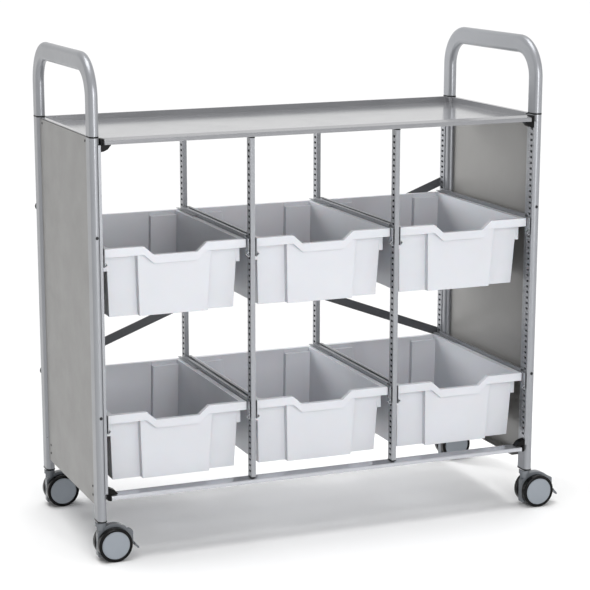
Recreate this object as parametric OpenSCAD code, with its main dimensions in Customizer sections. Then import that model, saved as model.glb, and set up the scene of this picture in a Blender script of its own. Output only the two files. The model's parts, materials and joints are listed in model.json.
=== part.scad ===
// Three-column book cart: tube frame with looped handles, six pull-out trays, swivel casters.
// Units are millimetres.  X runs along the front, +Y points to the rear, Z = 0 is the floor.

/* [Frame] */
// Post centre to post centre, left to right
frame_w = 1015.5; // [1000:0.5:1030]
// Post centre to post centre, front to rear
frame_d = 406; // [400:1:412]
// Top of the posts, above the floor
post_top = 903; // [899:1:907]
// Long side of the flat-oval tube, front to rear
tube_d = 40; // [36:1:42]
// Short side of the flat-oval tube
tube_w = 20; // [18:1:22]
// Wall of the flat-oval tube
tube_wall = 1.5; // [1.2:0.1:2]
// Thickness of the folded sheet steel
sheet = 1.5; // [1.2:0.1:1.8]

/* [Handles] */
// Height of the handle loops above the posts
handle_h = 169; // [140:1:200]
// Bend radius of the handle tube, to its centre line
handle_bend = 72; // [60:1:80]

/* [Top shelf and rails] */
// Height of the shelf floor above the ground
shelf_z = 890.5; // [889:0.5:891]
// Height of the shelf walls above its floor
shelf_wall = 13.5; // [13:0.5:14]
// Height of the rolled front edge and of the base rails
rail_h = 12; // [10:1:13]
// Top of the two base rails
rail_top = 150; // [148:1:152]

/* [Uprights and slots] */
// Width of an intermediate upright, seen from the front
upright_w = 10; // [9:1:11]
// Depth of an intermediate upright
upright_d = 20; // [18:1:20]
// Spacing of the runner slots
slot_pitch = 12.65; // [12.6:0.05:12.7]
// Number of slots in each row
slot_count = 57; // [55:1:57]
// Height of the topmost slot
slot_top = 872.25; // [871:0.25:873]
// Slot that the upper runners hook into, counted from the top
upper_slot = 16; // [14:1:18]
// Slot that the lower runners hook into, counted from the top
lower_slot = 44; // [42:1:44]

/* [Trays] */
// Width of a tray over its rim
tray_w = 312; // [308:1:312]
// Length of a tray over its rim
tray_l = 427; // [420:1:427]
// Height of a tray
tray_h = 150; // [120:5:150]
// Wall thickness of a tray
tray_wall = 2.2; // [1.8:0.1:2.6]
// Depth of the finger dip in the tray front
dip_depth = 19; // [12:1:22]

/* [Casters] */
// Wheel diameter
wheel_d = 75; // [73:1:75]
// How far the axle trails behind the stem
trail = 26; // [22:1:28]
// Width of one wheel of a twin-wheel caster
wheel_w = 16.5; // [14:0.5:17]

/* [Hidden] */
$fn = 48;

// Signs for the two ends and the two faces of the cart
left = -1;
right = 1;
front = -1;
rear = 1;
both = [-1, 1];

// Colours
silver = [0.72, 0.74, 0.77];
panel_grey = [0.60, 0.59, 0.57];
dark_grey = [0.30, 0.31, 0.33];
black = [0.06, 0.06, 0.07];
zinc = [0.80, 0.81, 0.82];
white = [0.93, 0.93, 0.95];
hub_grey = [0.60, 0.64, 0.69];
hood_grey = [0.40, 0.42, 0.44];

// Small gaps
slip = 0.25;    // between folded sheet parts that lie side by side
run = 0.05;     // radial running clearance of pins, stems and axles
eps = 1;        // how far a cutting solid runs past a face

// Posts and casters
post_x = frame_w / 2;
post_y = frame_d / 2;
wheel_r = wheel_d / 2;
caster_top = wheel_d + 11;      // top face of the caster housing
collar_t = 2.8;                 // zinc collar between housing and plug
flange_t = 3;                   // black plug flange under a post
post_bottom = caster_top + slip + collar_t + flange_t;
plug_depth = 25;
stem_r = 5;
stem_top = post_bottom + plug_depth - 2;

// Handles
ring_t = 3;                     // black ring between post and handle
handle_z0 = post_top + ring_t;
handle_top = post_top + handle_h;
bar_z = handle_top - tube_d / 2;
joiner_depth = 30;

// Strips, uprights and tray columns
strip_face = post_x - tube_w / 2 - slip - sheet;
bay_w = (2 * strip_face - 2 * upright_w) / 3;
col_pitch = bay_w + upright_w;
upright_x = col_pitch / 2;
upright_y0 = post_y;
upright_y1 = upright_y0 + upright_d;
cap_t = 2;
strip_y0 = post_y - 1;
strip_y1 = post_y + tube_d / 2 + 0.3;
strip_flange = 6;
slot_y = 10;
slot_z = 5;

// Rolled edge of the shelf and base rails
edge_y0 = post_y - 1;           // inner face
edge_y1 = post_y + 22;          // front face
edge_drop = 3;                  // fall of the top face towards the front
edge_r = 3;                     // nose radius
edge_x = strip_face - 7.5;      // half length between the black brackets
bracket_t = 4;
shelf_edge_top = shelf_z - sheet + rail_h;
shelf_x = post_x - tube_w / 2 - 1.25;   // half length between the posts
shelf_side_x = post_x - 4.75;           // outer face of the side walls, between front and rear posts
shelf_hem = 4;
web_reach = 15;                 // black web of a bracket, along the edge
web_rise = 14;
web_depth = 16;
post_inner_y = post_y - tube_d / 2;

// End panels
panel_out = post_x + 4.25;
panel_y = post_inner_y + 0.3;
panel_z0 = 116.5;
panel_z1 = post_top - 1.5;
panel_hem = 5;
panel_foot = 25;
panel_clear = 3;                // the foot and the hem stop short of the posts
panel_screw_y = 18;             // panel screws, from the edge of the panel

// Braces, lapped on the rear of the cart
brace_w = 20;
brace_t = 1.5;
brace_y0 = post_y + tube_d / 2 + 0.4;
brace_high = 699;
brace_low = 318;
brace_half = (brace_high - brace_low) / 2;
brace_mid = (brace_high + brace_low) / 2;
brace_len = 2 * sqrt(post_x * post_x + brace_half * brace_half);
brace_tilt = atan(brace_half / post_x);
screw_r = 2;
screw_head_r = 3.4;
screw_head_t = 1.1;

// Runners
web_x = tray_w / 2 + 1.3;       // inner face of the web, from the middle of the tray
runner_t = 1.2;
runner_rise = 8;                // top of the runner above the rim of its tray
runner_out = 4.8;               // width of that top, turned away from the tray
seat_z = 3.5;                   // seat under the rim, measured from the top of the rim
seat_w = 7.5;
seat_gap = 35;                  // from the front posts to the front end of the seat
lip_z = 1.5;                    // lip over the rear of the rim
lip_l = 120;
rim_over = 2.75;                // top of the rim above the centre of its slot
plate_drop = 37;                // hook plates at both ends of a runner
plate_l = 17;
hook_l = 4.4;
hook_h = 3.4;
hook_tip = bay_w / 2 + sheet + 1;
fold_d = 5.7;                   // folded spring tab at the foot of the front hook plate
fold_h = 12;
fold_l = 8;
fold_t = 1.6;

// Trays
rim_t = 3;
apron_h = 18;
shoulder_h = 9;                 // straight band of the end walls under the rim
band_step = 1.6;                // the band lies this far behind the proud middle
lug_low = 51;
tray_y0 = -post_y - 7;          // front face of the rim
side_top = tray_w / 2 - 11;
side_draft = 6.6;
step_x = 82.3;                  // half width of the proud middle of the front and rear walls
mid_set = 8;                    // setback of the proud middle at the top
mid_draft = 8.8;
side_set = 22;                  // setback of the outer thirds at the top
set_draft = 9;
dip_top_x = 69.3;
dip_low_x = 47.8;
dip_cut = 34;                   // how far back the dip's cut runs
lug_x = side_top + 5.6;
row_rim = [slot_top - lower_slot * slot_pitch + rim_over, slot_top - upper_slot * slot_pitch + rim_over];
lower = 0;
upper = 1;

// Casters
twin_gap = 17;                  // clear space between the two wheels of a caster
hub_r = wheel_r - 7;
axle_r = 4;
axle_l = 40;
body_t = 15;
hood_r = wheel_r + 5.5;
hood_near = wheel_r - 2.5;       // reach of the housing on the side of the stem, from the axle
hood_cut = 10;                  // lowest point of the housing
boss_r = 12;
pedal_tip = 55;                 // from the axle to the end of the pedal
pedal_pivot = [33, 19];         // from the axle, along X and Z
pedal_t = 12;
tab_w = 24;

// The casters trail to one side, so the cart's middle lies beside the middle of the whole box
caster_near = max(boss_r, wheel_r - trail);
shift_x = -(trail + pedal_tip - caster_near) / 2;

// ---------- helpers ----------

module cart() {
    translate([shift_x, 0, 0]) children();
}

// Mirror children to the left or the front
module side(sx) {
    if (sx < 0) mirror([1, 0, 0]) children();
    else children();
}

module face(sy) {
    if (sy < 0) mirror([0, 1, 0]) children();
    else children();
}

// Extrude a (y, z) outline along X, centred
module along_x(length) {
    rotate([90, 0, 90]) linear_extrude(length, center = true) children();
}

// Extrude an (x, z) outline along Y, centred
module along_y(length) {
    rotate([90, 0, 0]) linear_extrude(length, center = true) children();
}

// Box from its two corners
module block(low, high) {
    translate(low) cube(high - low);
}

// Flat oval, w across and d long
module oval(w, d) {
    square([w, d - w], center = true);
    for (s = both) translate([0, s * (d - w) / 2]) circle(d = w);
}

module tube_section() {
    difference() {
        oval(tube_w, tube_d);
        oval(tube_w - 2 * tube_wall, tube_d - 2 * tube_wall);
    }
}

module at_posts() {
    for (sx = both, sy = both) translate([sx * post_x, sy * post_y, 0]) children();
}

// Height of slot number i, counted down from the top
function slot_height(i) = slot_top - i * slot_pitch;

// Slotted strip outline in (y, z)
module slotted(y0, y1, z0, z1) {
    difference() {
        translate([y0, z0]) square([y1 - y0, z1 - z0]);
        for (i = [0 : slot_count - 1])
            translate([(y0 + y1) / 2, slot_height(i)]) square([slot_y, slot_z], center = true);
    }
}

// Rolled edge in (y, z), its top inner corner at height z, open underneath
module edge_section(z) {
    difference() {
        edge_outline(z, 0, rail_h);
        edge_outline(z, sheet, rail_h + eps);
    }
}

module edge_outline(z, inset, depth) {
    polygon([
        [edge_y0 + inset, z - inset],
        [edge_y0 + inset, z - depth],
        [edge_y1 - inset, z - depth],
        [edge_y1 - inset, z - edge_drop - edge_r],
        [edge_y1 - edge_r, z - edge_drop - inset]
    ]);
    translate([edge_y1 - edge_r, z - edge_drop - edge_r]) circle(r = edge_r - inset);
}

// ---------- frame ----------

module post(sx, sy) {
    slot_mid = (strip_y0 + strip_y1) / 2 - post_y;
    color(silver) cart() translate([sx * post_x, sy * post_y, 0]) difference() {
        translate([0, 0, post_bottom]) linear_extrude(post_top - post_bottom) tube_section();
        for (z = [brace_low, brace_high])
            translate([0, sy * tube_d / 2, z]) rotate([90, 0, 0])
                cylinder(r = screw_r + run, h = tube_d / 2, center = true);
        // Slots behind those of the corner strip, through the inner wall only
        for (i = [0 : slot_count - 1])
            translate([-sx * tube_w / 2, sy * slot_mid, slot_height(i)])
                cube([4 * tube_wall, slot_y, slot_z], center = true);
    }
}

module handle(sx) {
    leg_h = bar_z - handle_bend - handle_z0;
    color(silver) cart() translate([sx * post_x, 0, 0]) {
        for (sy = both) face(sy) {
            translate([0, post_y, handle_z0]) linear_extrude(leg_h) tube_section();
            translate([0, post_y - handle_bend, handle_z0 + leg_h]) rotate([0, -90, 180]) mirror([0, 1, 0])
                rotate_extrude(angle = 90, $fn = 96) translate([handle_bend, 0]) rotate(90) tube_section();
        }
        translate([0, 0, bar_z]) rotate([90, 0, 0])
            linear_extrude(2 * (post_y - handle_bend), center = true) tube_section();
    }
}

module handle_joiners() {
    color(black) cart() at_posts() {
        translate([0, 0, post_top]) linear_extrude(ring_t) oval(tube_w + 0.8, tube_d + 0.8);
        translate([0, 0, post_top - joiner_depth]) linear_extrude(2 * joiner_depth + ring_t)
            oval(tube_w - 2 * tube_wall - 0.2, tube_d - 2 * tube_wall - 0.2);
    }
}

module post_plugs() {
    color(black) cart() at_posts() difference() {
        union() {
            translate([0, 0, post_bottom - flange_t]) linear_extrude(flange_t)
                oval(tube_w + 1.4, tube_d + 1.4);
            translate([0, 0, post_bottom]) linear_extrude(plug_depth)
                oval(tube_w - 2 * tube_wall - 0.2, tube_d - 2 * tube_wall - 0.2);
        }
        translate([0, 0, post_bottom - flange_t - eps])
            cylinder(r = stem_r + run, h = plug_depth + flange_t - eps);
    }
}

// Recessed sheet between the posts, with a top hem and a folded foot
module end_panel(sx) {
    color(panel_grey) cart() side(sx) {
        block([panel_out - sheet, -panel_y, panel_z0], [panel_out, panel_y, panel_z1]);
        block([panel_out - panel_hem, -panel_y + panel_clear, panel_z1 - sheet],
            [panel_out, panel_y - panel_clear, panel_z1]);
        block([panel_out - panel_foot, -panel_y + panel_clear, panel_z0],
            [panel_out, panel_y - panel_clear, panel_z0 + sheet]);
    }
}

// Folded tray: floor, low walls on three sides, rolled lip along the front
module top_shelf() {
    wall_y = post_inner_y - 1;
    wall_z = shelf_z + shelf_wall;
    floor_low = shelf_z - sheet;
    color(silver) cart() {
        difference() {
            union() {
                block([-shelf_side_x, -wall_y, floor_low], [shelf_side_x, wall_y, wall_z]);
                block([-shelf_x, -edge_y0, floor_low], [shelf_x, edge_y0, wall_z]);
            }
            block([-shelf_side_x + sheet, -wall_y + sheet, shelf_z],
                [shelf_side_x - sheet, wall_y - sheet, wall_z + eps]);
            block([-shelf_x + sheet, -edge_y0 - eps, shelf_z],
                [shelf_x - sheet, edge_y0 - sheet, wall_z + eps]);
            block([-shelf_x - eps, -edge_y0 - eps, shelf_edge_top],
                [shelf_x + eps, -post_inner_y - eps, wall_z + eps]);
        }
        // Rear hem
        block([-shelf_x, edge_y0 - sheet, wall_z - sheet], [shelf_x, edge_y0 + shelf_hem, wall_z]);
        // Side hems lie over the end panels
        for (sx = both) side(sx)
            block([shelf_side_x - sheet, -wall_y, wall_z - sheet], [panel_out, wall_y, wall_z]);
        // Rolled front edge, joined to the floor
        face(front) along_x(2 * edge_x) edge_section(shelf_edge_top);
        block([-edge_x, -edge_y0 - sheet, floor_low], [edge_x, -edge_y0, shelf_z]);
    }
}

module base_rail(sy) {
    color(silver) cart() face(sy) along_x(2 * edge_x) edge_section(rail_top);
}

// Black end caps that carry the rolled edges, each with a triangular web
module corner_brackets() {
    color(black) cart() for (sx = both) side(sx) {
        face(front) bracket(shelf_edge_top, -1);
        face(rear) bracket_rear_shelf();
        for (sy = both) face(sy) bracket(rail_top, 1);
    }
}

// z is the top of the rolled edge; the web stands above (1) or hangs below (-1) it
module bracket(z, up) {
    z_near = up > 0 ? z + slip : z - rail_h - slip;
    outer = strip_face - slip;
    block([edge_x + slip, edge_y0, z - rail_h - 1], [edge_x + slip + bracket_t, edge_y1 + 1, z + 0.5]);
    block([edge_x + bracket_t, edge_y0 + 6, z - rail_h - 1], [outer, edge_y1 - 2, z + 0.5]);
    translate([0, edge_y1 - web_depth / 2 - 2, z_near]) along_y(web_depth) polygon([
        [edge_x - web_reach, 0], [outer, 0], [outer, up * web_rise], [edge_x + 1, up * (web_rise - 1)],
        [edge_x - web_reach / 2, up * web_rise * 0.65]
    ]);
}

// Small angle under the rear corner of the shelf
module bracket_rear_shelf() {
    block([edge_x - web_reach, edge_y0 - 22, shelf_z - sheet - slip - 3],
        [strip_face - slip, edge_y0 - 3, shelf_z - sheet - slip]);
}

// Slotted angle beside each post
module corner_strips() {
    z0 = rail_top + 2;
    z1 = shelf_z - sheet - 0.5;
    color(silver) cart() for (sx = both, sy = both) side(sx) face(sy) {
        translate([strip_face + sheet / 2, 0, 0]) along_x(sheet) slotted(strip_y0, strip_y1, z0, z1);
        block([strip_face, strip_y1 - sheet, z0], [strip_face + strip_flange, strip_y1, z1]);
    }
}

// Square-cornered tube upright, slotted on both sides
module upright(sx, sy) {
    z0 = rail_top + cap_t;
    z1 = (sy < 0 ? shelf_edge_top - rail_h : shelf_z - sheet) - cap_t - 0.5;
    color(silver) cart() translate([sx * upright_x, 0, 0]) face(sy) {
        for (s = both) translate([s * (upright_w - sheet) / 2, 0, 0])
            along_x(sheet) slotted(upright_y0, upright_y1, z0, z1);
        for (y = [upright_y0, upright_y1 - sheet])
            block([-upright_w / 2, y, z0], [upright_w / 2, y + sheet, z1]);
    }
}

module upright_caps() {
    color(black) cart() for (sx = both, sy = both) translate([sx * upright_x, 0, 0]) face(sy) {
        top = (sy < 0 ? shelf_edge_top - rail_h : shelf_z - sheet) - 0.5;
        for (z = [rail_top, top - cap_t])
            block([-upright_w / 2 - 0.4, upright_y0, z], [upright_w / 2 + 0.4, upright_y1 + 0.3, z + cap_t]);
    }
}

// Flat bar from corner to corner; layer 0 lies against the posts, layer 1 over it
module brace(tilt, layer) {
    y = brace_y0 + layer * (brace_t + 0.2);
    color(dark_grey) cart() translate([0, y, brace_mid]) rotate([0, -tilt, 0]) difference() {
        union() {
            block([-brace_len / 2, 0, -brace_w / 2], [brace_len / 2, brace_t, brace_w / 2]);
            for (s = both) translate([s * brace_len / 2, brace_t, 0]) rotate([90, 0, 0])
                cylinder(r = brace_w / 2, h = brace_t);
        }
        for (s = [-1, 0, 1]) translate([s * brace_len / 2, brace_t + eps, 0]) rotate([90, 0, 0])
            cylinder(r = screw_r + run, h = brace_t + 2 * eps);
    }
}

// Screw with its head outside the plane y and its shank running inwards
module screw(y, shank) {
    translate([0, y + screw_head_t, 0]) rotate([90, 0, 0]) cylinder(r = screw_head_r, h = screw_head_t);
    translate([0, y + 0.5, 0]) rotate([90, 0, 0]) cylinder(r = screw_r, h = shank + 0.5);
}

module frame_screws() {
    post_face = post_y + tube_d / 2;
    lap_y = brace_y0 + 2 * brace_t + 0.2;
    color(black) cart() {
        for (sx = both) {
            for (z = [brace_low, brace_high]) face(front) translate([sx * post_x, 0, z]) screw(post_face, 6);
            translate([sx * post_x, 0, sx > 0 ? brace_high : brace_low]) screw(brace_y0 + brace_t, 8);
            translate([sx * post_x, 0, sx > 0 ? brace_low : brace_high]) screw(lap_y, 10);
        }
        translate([0, 0, brace_mid]) screw(lap_y, 2 * brace_t + 1);
        // Panel screws, two low and one high beside each post
        for (sx = both, sy = both) side(sx) face(sy) for (z = [panel_z0 + 20, panel_z0 + 39, panel_z1 - 9])
            translate([panel_out, panel_y - panel_screw_y, z]) rotate([0, 90, 0]) cylinder(r = 2.6, h = 1);
    }
}

// ---------- runners and trays ----------

// One runner, on the +X side of a tray whose rim top is at z = 0
module runner() {
    y_end = upright_y1 - 1;
    y_top = upright_y0 - 2;
    web_out = web_x + runner_t;
    lip_top = lip_z + runner_t;
    seat_low = -seat_z - runner_t;
    hook_y = (upright_y0 + upright_y1) / 2;
    // Web, with its top edge turned outwards between the uprights
    block([web_x, -y_end, seat_low], [web_out, y_end, lip_top]);
    block([web_x, -y_top, lip_z], [web_out, y_top, runner_rise]);
    block([web_x, -y_top, runner_rise - runner_t], [web_out + runner_out, y_top, runner_rise]);
    // Seat that carries the rim, and the lip that keeps its rear end down
    block([web_out - seat_w, -post_y + seat_gap, seat_low], [web_out, y_end, -seat_z]);
    block([web_out - seat_w, y_end - lip_l, lip_z], [web_out, y_end, lip_top]);
    // Hook plates, each with two hooks that drop into the slots
    for (sy = both) face(sy) {
        block([web_x, y_end - plate_l, -plate_drop], [web_out, y_end, lip_top]);
        for (i = [1, 2]) translate([0, hook_y, -rim_over - i * slot_pitch])
            block([web_x, -hook_l / 2, -hook_h / 2], [hook_tip, hook_l / 2, hook_h / 2]);
    }
    // Folded spring tab that faces the tray
    translate([web_x, -y_end + fold_l / 2, -plate_drop + fold_h / 2]) along_y(fold_l) difference() {
        polygon([[0.5, -fold_h / 2], [0.5, fold_h / 2], [0, fold_h / 2], [-fold_d, 0], [0, -fold_h / 2]]);
        polygon([
            [eps, -fold_h / 2 + fold_t], [eps, fold_h / 2 - fold_t], [0, fold_h / 2 - fold_t],
            [-fold_d + fold_t, 0], [0, -fold_h / 2 + fold_t]
        ]);
    }
}

module runners(column) {
    color(zinc) cart() translate([column * col_pitch, 0, 0])
        for (rim = row_rim, sx = both) translate([0, 0, rim]) side(sx) runner();
}

// Solid between drafted sides, half wide at the rim, from rise down to -depth
module drafted_sides(half, inset, depth, rise) {
    fx = side_draft / tray_h;
    translate([0, tray_l / 2, 0]) along_y(tray_l) polygon([
        [-half + inset - fx * rise, rise], [half - inset + fx * rise, rise],
        [half - inset - fx * depth, -depth], [-half + inset + fx * depth, -depth]
    ]);
}

// Proud middle of the tray
module tray_middle(inset, depth, rise) {
    fy = mid_draft / tray_h;
    near = mid_set + inset;
    intersection() {
        drafted_sides(step_x, inset, depth, rise);
        along_x(tray_w) polygon([
            [near - fy * rise, rise], [tray_l - near + fy * rise, rise],
            [tray_l - near - fy * depth, -depth], [near + fy * depth, -depth]
        ]);
    }
}

// Full width of the tray, its ends set back below a straight band under the rim
module tray_full(inset, depth, rise, shoulder) {
    fy = set_draft / tray_h;
    band = mid_set + band_step + inset;
    near = side_set + inset;
    intersection() {
        drafted_sides(side_top, inset, depth, rise);
        along_x(tray_w) polygon([
            [band, rise], [tray_l - band, rise], [tray_l - band, -shoulder],
            [tray_l - near - fy * shoulder, -shoulder], [tray_l - near - fy * depth, -depth],
            [near + fy * depth, -depth], [near + fy * shoulder, -shoulder], [band, -shoulder]
        ]);
    }
}

// Top line of the tray front, lowered by drop, closed along z = floor_z
module dip_region(drop, floor_z) {
    polygon([
        [-tray_w / 2, -drop], [-dip_top_x, -drop], [-dip_low_x, -dip_depth - drop],
        [dip_low_x, -dip_depth - drop], [dip_top_x, -drop], [tray_w / 2, -drop],
        [tray_w / 2, floor_z], [-tray_w / 2, floor_z]
    ]);
}

// Band that follows the top line of the front, h tall, y0 to y1 deep
module front_band(h, y0, y1) {
    translate([0, (y0 + y1) / 2, 0]) along_y(y1 - y0) difference() {
        dip_region(0, -dip_depth - h - eps);
        dip_region(h, -dip_depth - h - 2 * eps);
    }
}

module tray(column, row) {
    depth = tray_h - tray_wall;
    color(white) cart() translate([column * col_pitch, tray_y0, row_rim[row]]) difference() {
        union() {
            tray_full(0, tray_h, 0, shoulder_h + tray_wall);
            tray_middle(0, tray_h, 0);
            block([-tray_w / 2, 0, -rim_t], [tray_w / 2, tray_l, 0]);
            front_band(rim_t, 0, mid_set + 1.5);
            front_band(apron_h, 0, 2.5);
            // Stop lugs under the front corners
            for (sx = both) side(sx)
                block([side_top - 4, side_set + 1.5, -lug_low], [lug_x, side_set + 9, -rim_t]);
        }
        tray_full(tray_wall, depth, eps, shoulder_h);
        tray_middle(tray_wall, depth, eps);
        // Finger dip through the front wall
        translate([0, dip_cut / 2 - eps, 0]) along_y(dip_cut) polygon([
            [-dip_top_x, eps], [-dip_top_x, 0], [-dip_low_x, -dip_depth],
            [dip_low_x, -dip_depth], [dip_top_x, 0], [dip_top_x, eps]
        ]);
    }
}

// ---------- casters ----------

// Put children at a caster, the stem axis at the origin
module at_caster(sx, sy) {
    cart() translate([sx * post_x, sy * post_y, 0]) children();
}

// Cylinder along Y round the axle, from y0 outwards to y1 on the sy side
module round_axle(r, y0, y1, sy) {
    face(sy) translate([trail, y1, wheel_r]) rotate([90, 0, 0]) cylinder(r = r, h = y1 - y0);
}

module caster_stems() {
    color(zinc) cart() at_posts() {
        translate([0, 0, caster_top - 24]) cylinder(r = stem_r, h = stem_top - caster_top + 24);
        translate([0, 0, caster_top + slip]) cylinder(r = stem_r + 5, h = collar_t);
    }
}

module caster_housing(sx, sy, braked) {
    color(hood_grey) at_caster(sx, sy) difference() {
        union() {
            intersection() {
                translate([trail, body_t / 2, wheel_r]) rotate([90, 0, 0])
                    cylinder(r = hood_r, h = body_t, $fn = 96);
                block([trail - hood_near, -body_t, hood_cut], [trail + hood_r, body_t, caster_top]);
            }
            translate([0, 0, caster_top - 17]) cylinder(r = body_t / 2 + 2, h = 13);
            translate([0, 0, caster_top - 8]) cylinder(r = boss_r, h = 8);
        }
        translate([0, 0, caster_top - 25]) cylinder(r = stem_r + run, h = 25 + eps);
        translate([trail, body_t, wheel_r]) rotate([90, 0, 0]) cylinder(r = axle_r + run, h = 2 * body_t);
        if (braked) {
            block([trail + 23, -pedal_t / 2 - 0.4, wheel_r - 16],
                [trail + hood_r + eps, pedal_t / 2 + 0.4, caster_top]);
            // Room for the wide tread when it is pressed
            block([trail + wheel_r + 0.5, -tab_w / 2 - 0.4, wheel_r - 16],
                [trail + hood_r + eps, tab_w / 2 + 0.4, wheel_r - 1.5]);
            translate([trail + pedal_pivot[0], body_t, wheel_r + pedal_pivot[1]]) rotate([90, 0, 0])
                cylinder(r = 2 + run, h = 2 * body_t);
        }
    }
}

module caster_axle(sx, sy) {
    color(zinc) at_caster(sx, sy) translate([trail, axle_l / 2, wheel_r]) rotate([90, 0, 0])
        cylinder(r = axle_r, h = axle_l);
}

// Tyre ring with rounded shoulders; side says which wheel of the pair
module caster_tyre(sx, sy, wheel_side) {
    shoulder = 3;
    color(black) at_caster(sx, sy) face(wheel_side)
        translate([trail, twin_gap / 2 + wheel_w, wheel_r]) rotate([90, 0, 0]) rotate_extrude($fn = 96) {
            translate([hub_r, 0]) square([wheel_r - hub_r - shoulder, wheel_w]);
            translate([hub_r, shoulder]) square([wheel_r - hub_r, wheel_w - 2 * shoulder]);
            for (z = [shoulder, wheel_w - shoulder]) translate([wheel_r - shoulder, z]) circle(r = shoulder);
        }
}

// Hub with a plain domed cover on the outside and a blind axle bore
module caster_hub(sx, sy, wheel_side) {
    color(hub_grey) at_caster(sx, sy) difference() {
        union() {
            round_axle(hub_r - run, twin_gap / 2 + 0.5, twin_gap / 2 + wheel_w - 0.8, wheel_side);
            round_axle(hub_r - 2, twin_gap / 2 + 1, twin_gap / 2 + wheel_w, wheel_side);
        }
        round_axle(axle_r + run, 0, axle_l / 2 + 0.5, wheel_side);
    }
}

// Rocker between the wheels: pressed down it locks them
module caster_pedal(sx, sy) {
    color(hood_grey) at_caster(sx, sy) translate([trail, 0, wheel_r]) {
        along_y(pedal_t) polygon([
            [27, 27], [37, 27], [42, 25], [44, 22], [44, 1], [48, -5], [pedal_tip, -13], [pedal_tip, -16],
            [pedal_tip - 3, -16], [44, -8], [40, 0], [38, 10], [36, 14], [28, 14], [26, 24]
        ]);
        along_y(tab_w) polygon([
            [46, -2], [48, -5], [pedal_tip, -13], [pedal_tip, -16], [pedal_tip - 3, -16], [44.5, -7.5]
        ]);
        translate([pedal_pivot[0], body_t / 2, pedal_pivot[1]]) rotate([90, 0, 0])
            cylinder(r = 2, h = body_t);
    }
}

// ---------- nodes ----------

post(left, front);  // post_front_left
post(right, front);  // post_front_right
post(left, rear);  // post_rear_left
post(right, rear);  // post_rear_right
handle(left);  // handle_left
handle(right);  // handle_right
handle_joiners();
post_plugs();
end_panel(left);  // end_panel_left
end_panel(right);  // end_panel_right
top_shelf();
base_rail(front);  // base_rail_front
base_rail(rear);  // base_rail_rear
corner_brackets();
corner_strips();
upright(left, front);  // upright_front_left
upright(right, front);  // upright_front_right
upright(left, rear);  // upright_rear_left
upright(right, rear);  // upright_rear_right
upright_caps();
brace(brace_tilt, 0);  // brace_rising
brace(-brace_tilt, 1);  // brace_falling
frame_screws();
runners(-1);  // runners_left
runners(0);  // runners_centre
runners(1);  // runners_right
tray(-1, upper);  // tray_upper_left
tray(0, upper);  // tray_upper_centre
tray(1, upper);  // tray_upper_right
tray(-1, lower);  // tray_lower_left
tray(0, lower);  // tray_lower_centre
tray(1, lower);  // tray_lower_right
caster_stems();
caster_housing(left, front, true);  // caster_front_left_housing
caster_axle(left, front);  // caster_front_left_axle
caster_tyre(left, front, front);  // caster_front_left_tyre_front
caster_tyre(left, front, rear);  // caster_front_left_tyre_rear
caster_hub(left, front, front);  // caster_front_left_hub_front
caster_hub(left, front, rear);  // caster_front_left_hub_rear
caster_pedal(left, front);  // caster_front_left_pedal
caster_housing(right, front, true);  // caster_front_right_housing
caster_axle(right, front);  // caster_front_right_axle
caster_tyre(right, front, front);  // caster_front_right_tyre_front
caster_tyre(right, front, rear);  // caster_front_right_tyre_rear
caster_hub(right, front, front);  // caster_front_right_hub_front
caster_hub(right, front, rear);  // caster_front_right_hub_rear
caster_pedal(right, front);  // caster_front_right_pedal
caster_housing(left, rear, false);  // caster_rear_left_housing
caster_axle(left, rear);  // caster_rear_left_axle
caster_tyre(left, rear, front);  // caster_rear_left_tyre_front
caster_tyre(left, rear, rear);  // caster_rear_left_tyre_rear
caster_hub(left, rear, front);  // caster_rear_left_hub_front
caster_hub(left, rear, rear);  // caster_rear_left_hub_rear
caster_housing(right, rear, false);  // caster_rear_right_housing
caster_axle(right, rear);  // caster_rear_right_axle
caster_tyre(right, rear, front);  // caster_rear_right_tyre_front
caster_tyre(right, rear, rear);  // caster_rear_right_tyre_rear
caster_hub(right, rear, front);  // caster_rear_right_hub_front
caster_hub(right, rear, rear);  // caster_rear_right_hub_rear
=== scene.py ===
import json
import math
import bpy
from mathutils import Matrix, Vector


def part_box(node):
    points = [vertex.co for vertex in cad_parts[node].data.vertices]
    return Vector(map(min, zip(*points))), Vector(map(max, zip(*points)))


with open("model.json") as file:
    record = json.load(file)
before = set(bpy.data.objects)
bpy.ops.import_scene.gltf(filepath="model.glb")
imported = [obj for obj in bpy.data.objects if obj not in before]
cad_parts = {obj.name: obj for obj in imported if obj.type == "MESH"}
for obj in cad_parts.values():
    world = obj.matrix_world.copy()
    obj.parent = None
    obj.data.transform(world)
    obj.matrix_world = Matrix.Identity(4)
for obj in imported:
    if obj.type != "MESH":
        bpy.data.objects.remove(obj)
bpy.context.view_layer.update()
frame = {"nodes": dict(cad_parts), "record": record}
scene = bpy.context.scene

# ---------------------------------------------------------------- camera

IMAGE = 590                      # the frame's side, in pixels
SENSOR = 36.0                    # millimetres
FOCAL = 1897.8                   # in pixels
CENTRE = (205.0, 328.0)          # where the optical axis meets the frame, in pixels
AZIMUTH = math.radians(19.93)    # turned from the cart's front towards its left end
ELEVATION = math.radians(12.88)  # how far the camera looks down
ROLL = math.radians(0.53)
CAMERA = Vector((-1.636, -3.879, 1.381))


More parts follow.
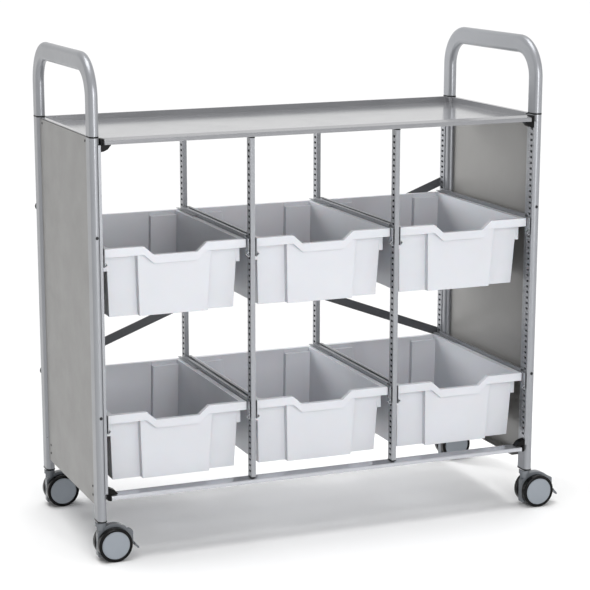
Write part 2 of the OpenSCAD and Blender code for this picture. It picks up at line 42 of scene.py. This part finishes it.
def make_camera():
    """A plain pinhole camera, shifted only as far as the framing needs."""
    data = bpy.data.cameras.new("camera")
    data.sensor_width = SENSOR
    data.lens = FOCAL * SENSOR / IMAGE
    data.shift_x = (IMAGE / 2 - CENTRE[0]) / IMAGE
    data.shift_y = (CENTRE[1] - IMAGE / 2) / IMAGE
    data.clip_start = 0.1
    data.clip_end = 100.0
    cam = bpy.data.objects.new("camera", data)
    scene.collection.objects.link(cam)
    forward = Vector((
        math.sin(AZIMUTH) * math.cos(ELEVATION),
        math.cos(AZIMUTH) * math.cos(ELEVATION),
        -math.sin(ELEVATION),
    ))
    flat_right = Vector((math.cos(AZIMUTH), -math.sin(AZIMUTH), 0.0))
    flat_down = forward.cross(flat_right)
    right = math.cos(ROLL) * flat_right + math.sin(ROLL) * flat_down
    down = -math.sin(ROLL) * flat_right + math.cos(ROLL) * flat_down
    rows = [[right[i], -down[i], -forward[i], CAMERA[i]] for i in range(3)]
    cam.matrix_world = Matrix(rows + [[0.0, 0.0, 0.0, 1.0]])
    scene.camera = cam


make_camera()

# ---------------------------------------------------------------- materials


def srgb(r, g, b):
    """Screen values from 0 to 255 as a linear colour."""
    def lin(v):
        v /= 255.0
        return v / 12.92 if v <= 0.04045 else ((v + 0.055) / 1.055) ** 2.4
    return (lin(r), lin(g), lin(b), 1.0)


def shade(colour, k):
    """A colour made lighter or darker."""
    return tuple(min(1.0, c * k) for c in colour[:3]) + (1.0,)


def colour_sockets(sockets):
    """The colour sockets of a mix node, which has one set for each data type."""
    return [s for s in sockets if s.type == "RGBA"]


class Build:
    """A small helper that adds nodes to a material and links them."""

    def __init__(self, name):
        self.mat = bpy.data.materials.new(name)
        self.mat.use_nodes = True
        self.tree = self.mat.node_tree
        self.tree.nodes.clear()
        self.out = self.tree.nodes.new("ShaderNodeOutputMaterial")
        self.bsdf = self.tree.nodes.new("ShaderNodeBsdfPrincipled")
        self.link(self.bsdf.outputs["BSDF"], self.out.inputs["Surface"])
        self.coord = self.tree.nodes.new("ShaderNodeTexCoord").outputs["Object"]

    def link(self, a, b):
        self.tree.links.new(a, b)

    def scaled(self, x, y, z):
        node = self.tree.nodes.new("ShaderNodeMapping")
        node.inputs["Scale"].default_value = (x, y, z)
        self.link(self.coord, node.inputs["Vector"])
        return node.outputs["Vector"]

    def noise(self, scale, detail=3.0, rough=0.5, vector=None):
        node = self.tree.nodes.new("ShaderNodeTexNoise")
        node.inputs["Scale"].default_value = scale
        node.inputs["Detail"].default_value = detail
        node.inputs["Roughness"].default_value = rough
        self.link(vector or self.coord, node.inputs["Vector"])
        return node.outputs["Fac"]

    def cells(self, scale):
        node = self.tree.nodes.new("ShaderNodeTexVoronoi")
        node.inputs["Scale"].default_value = scale
        self.link(self.coord, node.inputs["Vector"])
        return node.outputs["Color"]

    def ramp(self, fac, stops):
        node = self.tree.nodes.new("ShaderNodeValToRGB")
        ramp = node.color_ramp
        while len(ramp.elements) < len(stops):
            ramp.elements.new(0.5)
        for element, (place, colour) in zip(ramp.elements, stops):
            element.position = place
            element.color = colour
        self.link(fac, node.inputs["Fac"])
        return node.outputs["Color"]

    def span(self, fac, low, high, start=0.0, end=1.0):
        node = self.tree.nodes.new("ShaderNodeMapRange")
        node.inputs["From Min"].default_value = start
        node.inputs["From Max"].default_value = end
        node.inputs["To Min"].default_value = low
        node.inputs["To Max"].default_value = high
        self.link(fac, node.inputs["Value"])
        return node.outputs["Result"]

    def mix(self, fac, a, b):
        node = self.tree.nodes.new("ShaderNodeMix")
        node.data_type = "RGBA"
        self.link(fac, node.inputs["Factor"])
        for socket, value in zip(colour_sockets(node.inputs), (a, b)):
            if isinstance(value, tuple):
                socket.default_value = value
            else:
                self.link(value, socket)
        return colour_sockets(node.outputs)[0]

    def sum(self, a, b, operation="ADD"):
        node = self.tree.nodes.new("ShaderNodeMath")
        node.operation = operation
        for socket, value in zip(node.inputs, (a, b)):
            if isinstance(value, (int, float)):
                socket.default_value = value
            else:
                self.link(value, socket)
        return node.outputs[0]

    def bump(self, height, strength, distance):
        node = self.tree.nodes.new("ShaderNodeBump")
        node.inputs["Strength"].default_value = strength
        node.inputs["Distance"].default_value = distance
        self.link(height, node.inputs["Height"])
        self.link(node.outputs["Normal"], self.bsdf.inputs["Normal"])

    def set(self, **values):
        for name, value in values.items():
            self.bsdf.inputs[name.replace("_", " ")].default_value = value

    def to(self, socket, value):
        self.link(value, self.bsdf.inputs[socket])


def painted(name, colour, metal, low_rough, high_rough, peel=0.05, coat=0.0):
    """Powder-coated steel: orange peel, faint mottling, handling marks."""
    b = Build(name)
    mottle = b.ramp(b.noise(9.0, 5.0, 0.6),
                    [(0.30, shade(colour, 0.97)), (0.70, shade(colour, 1.02))])
    flake = b.noise(2600.0, 2.0)
    speck = b.mix(b.span(flake, 0.0, 0.22, 0.45, 0.75), mottle, shade(colour, 1.20))
    rubs = b.noise(4.0, 8.0, 0.72, b.scaled(3.0, 3.0, 1.0))
    worn = b.mix(b.span(rubs, 0.0, 0.10, 0.55, 0.75), speck, shade(colour, 0.85))
    b.to("Base Color", worn)
    b.to("Roughness", b.span(b.noise(14.0, 6.0, 0.65), low_rough, high_rough, 0.30, 0.70))
    b.bump(b.sum(b.noise(700.0, 2.0), b.noise(190.0, 2.0)), peel, 0.0004)
    b.set(Metallic=metal, Coat_Weight=coat, Coat_Roughness=0.15)
    return b.mat


def steel(name, colour, low_rough, high_rough):
    """Bare or plated sheet steel: rolled grain along X and Y, cloudy sheen."""
    b = Build(name)
    grain = b.noise(60.0, 6.0, 0.6, b.scaled(1.0, 1.0, 14.0))
    cloud = b.noise(12.0, 4.0, 0.6)
    tone = b.ramp(b.sum(b.sum(grain, 0.6, "MULTIPLY"), b.sum(cloud, 0.4, "MULTIPLY")),
                  [(0.30, shade(colour, 0.82)), (0.70, shade(colour, 1.12))])
    b.to("Base Color", tone)
    b.to("Roughness", b.span(cloud, low_rough, high_rough, 0.30, 0.70))
    b.bump(grain, 0.08, 0.0003)
    b.set(Metallic=0.85)
    return b.mat


def zinc_plate(name, colour):
    """Bright zinc with small spangles."""
    b = Build(name)
    tone = b.ramp(b.cells(260.0), [(0.0, shade(colour, 0.80)), (1.0, shade(colour, 1.15))])
    b.to("Base Color", tone)
    b.to("Roughness", b.span(b.noise(160.0), 0.22, 0.42, 0.3, 0.7))
    b.bump(b.noise(900.0), 0.06, 0.0002)
    b.set(Metallic=0.95)
    return b.mat


def moulded(name, colour, low_rough, high_rough, grain=0.15, fine=1100.0, scuff=0.85,
            soft=0.0, shine=0.5):
    """Injection-moulded plastic: spark-eroded texture, flow clouds, light scuffs."""
    b = Build(name)
    flow = b.ramp(b.noise(6.0, 4.0, 0.55),
                  [(0.30, shade(colour, 0.965)), (0.70, shade(colour, 1.02))])
    marks = b.noise(22.0, 9.0, 0.75, b.scaled(1.0, 1.0, 2.5))
    b.to("Base Color", b.mix(b.span(marks, 0.0, 0.30, 0.62, 0.78), flow, shade(colour, scuff)))
    b.to("Roughness", b.span(b.noise(30.0, 6.0, 0.6), low_rough, high_rough, 0.3, 0.7))
    b.bump(b.sum(b.noise(fine, 2.0), b.noise(fine / 5.0, 2.0)), grain, 0.0003)
    b.set(Subsurface_Weight=soft, Subsurface_Scale=0.004, Specular_IOR_Level=shine)
    return b.mat


def rubber(name, colour, dust_colour):
    """Tyre tread: smooth black rubber with a little dust."""
    b = Build(name)
    dust = b.noise(40.0, 7.0, 0.7)
    b.to("Base Color", b.mix(b.span(dust, 0.0, 0.25, 0.50, 0.75), colour, dust_colour))
    b.to("Roughness", b.span(b.noise(55.0, 5.0, 0.6), 0.16, 0.30, 0.3, 0.7))
    b.bump(b.noise(1400.0, 3.0), 0.12, 0.0003)
    b.set(Specular_IOR_Level=0.15)
    return b.mat


MATERIALS = {
    "silver_paint": painted("silver_paint", srgb(141, 143, 147), 0.45, 0.27, 0.38, coat=0.12),
    "panel_paint": painted("panel_paint", srgb(130, 129, 127), 0.20, 0.30, 0.40),
    "dark_paint": painted("dark_paint", srgb(76, 77, 80), 0.20, 0.34, 0.46),
    "runner_steel": steel("runner_steel", srgb(150, 152, 156), 0.32, 0.46),
    "black_plastic": moulded("black_plastic", srgb(9, 9, 10), 0.30, 0.42, scuff=1.5, shine=0.12),
    "black_screw": painted("black_screw", srgb(30, 30, 33), 0.60, 0.28, 0.40),
    "zinc": zinc_plate("zinc", srgb(206, 208, 210)),
    "tray_plastic": moulded("tray_plastic", srgb(196, 198, 203), 0.30, 0.42, grain=0.05, fine=900.0,
                            scuff=0.96, soft=0.10),
    "caster_plastic": moulded("caster_plastic", srgb(104, 108, 113), 0.18, 0.28),
    "hub_plastic": moulded("hub_plastic", srgb(136, 142, 149), 0.36, 0.50, grain=0.12),
    "tyre_rubber": rubber("tyre_rubber", srgb(7, 7, 8), srgb(24, 24, 26)),
}
# The shelf and the rails are smoother than the tubes; the rails' paint is lighter than the shelf's
# as a painted reflection of the bright backdrop
SHELF_PAINT = painted("shelf_paint", srgb(132, 133, 136), 0.30, 0.14, 0.22, peel=0.02, coat=0.6)
RAIL_PAINT_WITH_REFLECTION = painted("rail_paint_with_reflection", srgb(176, 178, 183), 0.60, 0.12, 0.20, peel=0.02, coat=0.8)

# ---------------------------------------------------------------- CAD nodes

WALL_INSIDE = 0.0013             # just less than the wall of the slotted tubes
POST_ROUND = 0.0115              # the rounded sides of the post tube
TUBE_INSIDE_SHADE = srgb(16, 16, 18)        # painted shade: the inside of a tube, painted near-black as if unlit


def slotted_paint(node, flat):
    """Silver paint outside; the hollow behind the slots is painted near-black as painted shade.

    The hollow is the node's box less the tube's wall along X and flat along Y.
    """
    low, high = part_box(node)
    mat = MATERIALS["silver_paint"].copy()
    mat.name = "slotted_" + node
    tree = mat.node_tree
    bsdf = next(n for n in tree.nodes if n.type == "BSDF_PRINCIPLED")
    outside = bsdf.inputs["Base Color"].links[0].from_socket
    place = tree.nodes.new("ShaderNodeSeparateXYZ")
    coord = next(n for n in tree.nodes if n.type == "TEX_COORD")
    tree.links.new(coord.outputs["Object"], place.inputs[0])
    inside = tree.nodes.new("ShaderNodeMath")
    inside.operation = "MULTIPLY"
    for i, (axis, margin) in enumerate((("X", WALL_INSIDE), ("Y", flat))):
        near = tree.nodes.new("ShaderNodeMath")
        near.operation = "COMPARE"
        near.inputs[1].default_value = (low[i] + high[i]) / 2
        near.inputs[2].default_value = (high[i] - low[i]) / 2 - margin
        tree.links.new(place.outputs[axis], near.inputs[0])
        tree.links.new(near.outputs[0], inside.inputs[i])
    # painted shade: near-black over the tube's inside, in place of the shade there
    dark = tree.nodes.new("ShaderNodeMix")
    dark.data_type = "RGBA"
    painted_side, shade_side = colour_sockets(dark.inputs)
    shade_side.default_value = TUBE_INSIDE_SHADE
    tree.links.new(inside.outputs[0], dark.inputs["Factor"])
    tree.links.new(outside, painted_side)
    tree.links.new(colour_sockets(dark.outputs)[0], bsdf.inputs["Base Color"])
    return mat


WELD = 0.00001                   # corners of the CAD mesh this close are one
FLAT_ANGLE = math.radians(0.6)   # facets that meet flatter than this are one face
SHARP_ANGLE = math.radians(32)   # edges sharper than this are rounded
ROUND = {                        # edge rounding of each slot, in metres
    "silver_paint": 0.0006,
    "panel_paint": 0.0005,
    "dark_paint": 0.0004,
    "runner_steel": 0.0003,
    "black_plastic": 0.0006,
    "black_screw": 0.0004,
    "zinc": 0.0004,
    "caster_plastic": 0.0010,
    "hub_plastic": 0.0008,
    "tyre_rubber": 0.0012,
}
TRAY_TALL = 0.0035               # rounding of the standing and floor edges of a tray
TRAY_SMALL = 0.0010              # and of its rim
STANDING = 0.05                  # least height of a standing edge
STEEP = 0.6                      # and its least height against its length
FLOOR_DEPTH = 0.14               # a tray's floor is at least this far below its rim


def weigh_edges(obj):
    """Gives the long standing edges of a tray a larger rounding than its rim."""
    mesh = obj.data
    weights = mesh.attributes.new("bevel_weight_edge", "FLOAT", "EDGE")
    top = max(v.co.z for v in mesh.vertices)
    for edge in mesh.edges:
        a, b = (mesh.vertices[i].co for i in edge.vertices)
        rise = abs(a.z - b.z)
        standing = rise > STEEP * (a - b).length and rise > STANDING
        floor = max(a.z, b.z) < top - FLOOR_DEPTH
        weights.data[edge.index].value = 1.0 if standing or floor else TRAY_SMALL / TRAY_TALL


def finish_edges(obj, width, weighted=False):
    """Joins the CAD mesh's flat facets, then rounds and smooths its edges."""
    weld = obj.modifiers.new("weld", "WELD")
    weld.merge_threshold = WELD
    flat = obj.modifiers.new("flat", "DECIMATE")
    flat.decimate_type = "DISSOLVE"
    flat.angle_limit = FLAT_ANGLE
    bevel = obj.modifiers.new("round", "BEVEL")
    bevel.width = width
    bevel.segments = 3 if weighted else 2
    bevel.limit_method = "WEIGHT" if weighted else "ANGLE"
    bevel.angle_limit = SHARP_ANGLE
    bevel.use_clamp_overlap = True
    bevel.harden_normals = False
    for poly in obj.data.polygons:
        poly.use_smooth = True
    tone = obj.modifiers.new("normals", "WEIGHTED_NORMAL")
    tone.keep_sharp = True


slot_of = {part["node"]: part["material_slot"] for part in frame["record"]["subparts"]}
for name, obj in frame["nodes"].items():
    slot = slot_of[name]
    obj.data.materials.clear()
    if name == "top_shelf":
        paint = SHELF_PAINT
    elif name.startswith("base_rail_"):
        # the rails' lighter colour is a painted reflection
        paint = RAIL_PAINT_WITH_REFLECTION
    # slotted tubes: silver paint outside, painted shade inside
    elif name.startswith("upright_") and name != "upright_caps":
        paint = slotted_paint(name, WALL_INSIDE)
    elif name.startswith("post_") and name != "post_plugs":
        paint = slotted_paint(name, POST_ROUND)
    else:
        paint = MATERIALS[slot]
    obj.data.materials.append(paint)
    if slot == "tray_plastic":
        weigh_edges(obj)
        finish_edges(obj, TRAY_TALL, weighted=True)
    else:
        finish_edges(obj, ROUND[slot])

# ---------------------------------------------------------------- stage and light

FLOOR = 60.0                     # half the floor's side
FLOOR_TONES = ((0.90, 0.90, 0.90, 1.0), (0.92, 0.92, 0.92, 1.0))
AMBIENT = 0.33                   # how brightly the white backdrop lights the cart
MIRRORED = 0.90                  # how bright it is in reflections
SEEN = 1.05                      # and how bright it looks
BEHIND = "back"                  # the light that isn't reflected in the paint


def make_floor():
    """A plain pale floor, far wider than the view."""
    mesh = bpy.data.meshes.new("floor")
    corners = [(-FLOOR, -FLOOR, 0), (FLOOR, -FLOOR, 0), (FLOOR, FLOOR, 0), (-FLOOR, FLOOR, 0)]
    mesh.from_pydata(corners, [], [(0, 1, 2, 3)])
    obj = bpy.data.objects.new("floor", mesh)
    scene.collection.objects.link(obj)
    b = Build("floor")
    b.to("Base Color", b.ramp(b.noise(1.2), [(0.3, FLOOR_TONES[0]), (0.7, FLOOR_TONES[1])]))
    b.set(Roughness=0.9)
    mesh.materials.append(b.mat)


def area(name, place, target, size, power, spread=180.0):
    """A soft box at place, turned to target; size in metres, power in watts."""
    data = bpy.data.lights.new(name, "AREA")
    data.shape = "RECTANGLE"
    data.size, data.size_y = size
    data.energy = power
    data.spread = math.radians(spread)
    obj = bpy.data.objects.new(name, data)
    obj.location = place
    obj.rotation_mode = "QUATERNION"
    obj.rotation_quaternion = (Vector(target) - Vector(place)).to_track_quat("-Z", "Y")
    obj.visible_camera = False
    obj.visible_glossy = name != BEHIND
    scene.collection.objects.link(obj)


def overhead(towards, strength, spread):
    """An even light from above, so that the floor is as bright far off as near.

    The light comes from towards, and its disc is spread degrees across.
    """
    data = bpy.data.lights.new("overhead", "SUN")
    data.energy = strength
    data.angle = math.radians(spread)
    obj = bpy.data.objects.new("overhead", data)
    obj.rotation_mode = "QUATERNION"
    obj.rotation_quaternion = Vector(towards).to_track_quat("Z", "Y")
    scene.collection.objects.link(obj)


def make_backdrop():
    """A white world, whose strength depends on the kind of ray that meets it."""
    world = bpy.data.worlds.new("world")
    world.use_nodes = True
    tree = world.node_tree
    white = tree.nodes["Background"]
    white.inputs["Color"].default_value = (1.0, 1.0, 1.0, 1.0)
    path = tree.nodes.new("ShaderNodeLightPath")
    level = None
    for ray, value in (("Is Glossy Ray", MIRRORED), ("Is Camera Ray", SEEN)):
        choose = tree.nodes.new("ShaderNodeMix")
        choose.data_type = "FLOAT"
        tree.links.new(path.outputs[ray], choose.inputs["Factor"])
        choose.inputs["A"].default_value = AMBIENT
        choose.inputs["B"].default_value = value
        if level:
            tree.links.new(level, choose.inputs["A"])
        level = choose.outputs["Result"]
    tree.links.new(level, white.inputs["Strength"])
    scene.world = world


make_floor()
make_backdrop()
area("key", (-0.25, -3.0, 1.3), (0.1, 0.0, 0.5), (0.9, 1.7), 50.0)
area("fill", (3.4, -3.8, 1.6), (0.0, 0.0, 0.6), (0.8, 2.2), 14.0)
area(BEHIND, (-0.40, 1.20, 0.95), (0.50, 0.0, 0.60), (0.5, 0.9), 6.0, spread=75.0)
overhead((-0.08, 0.07, 1.0), 2.5, 46.0)
scene.view_settings.view_transform = "Standard"
